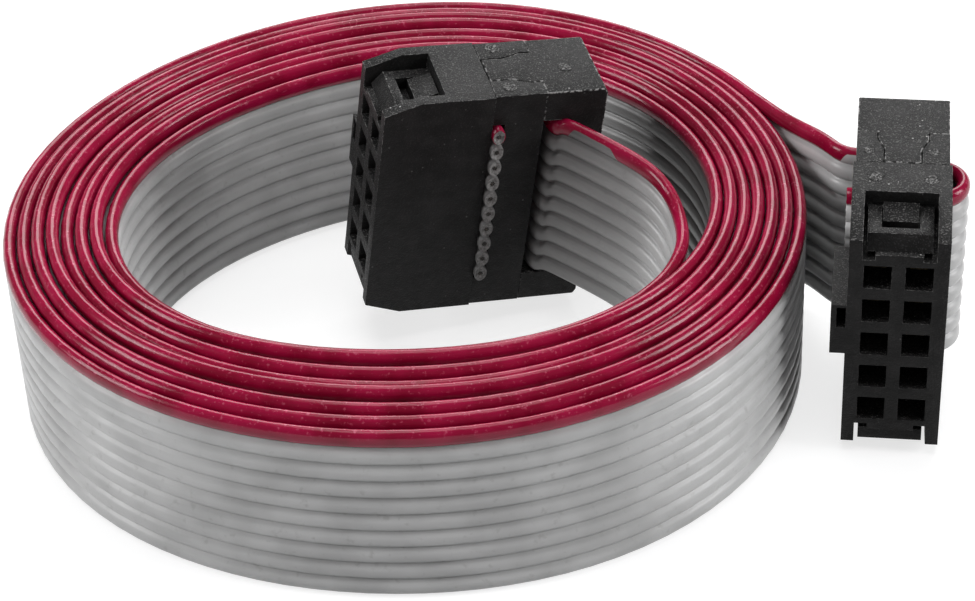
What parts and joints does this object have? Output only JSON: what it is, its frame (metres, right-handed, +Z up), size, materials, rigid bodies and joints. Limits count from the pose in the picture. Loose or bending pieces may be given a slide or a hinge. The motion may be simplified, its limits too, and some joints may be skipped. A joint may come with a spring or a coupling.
{
  "type": "ribbon cable",
  "caption": "Flat grey ribbon cable with a red edge strand, coiled standing on its edge, with a crimped two-row socket and strain relief on each end.",
  "frame": {"origin": "centre of the box in X and Y, on the plane the coil and the outer socket stand on", "axes": "+Z up, from the coil's lower edge to the red strand; +X to the outer socket's side, the longest way; -Y to the viewer of the picture"},
  "size_m": [0.0616, 0.049, 0.0202],
  "materials": {
    "cable": "satin, grey with a red edge strand",
    "housing": "fine grained satin black",
    "contact": "satin"
  },
  "bodies": {
    "root": {"cable_coil": "cable", "cable_inner_lead": "cable", "cable_inner_fold": "cable", "cable_outer_lead": "cable", "cable_outer_fold": "cable", "inner_socket_body": "housing", "inner_socket_cover": "housing", "inner_strain_relief": "housing", "outer_socket_body": "housing", "outer_socket_cover": "housing", "outer_strain_relief": "housing", "inner_contact_01": "contact", "inner_contact_02": "contact", "inner_contact_03": "contact", "inner_contact_04": "contact", "inner_contact_05": "contact", "inner_contact_06": "contact", "inner_contact_07": "contact", "inner_contact_08": "contact", "inner_contact_09": "contact", "inner_contact_10": "contact", "outer_contact_01": "contact", "outer_contact_02": "contact", "outer_contact_03": "contact", "outer_contact_04": "contact", "outer_contact_05": "contact", "outer_contact_06": "contact", "outer_contact_07": "contact", "outer_contact_08": "contact", "outer_contact_09": "contact", "outer_contact_10": "contact"}
  },
  "joints": []
}
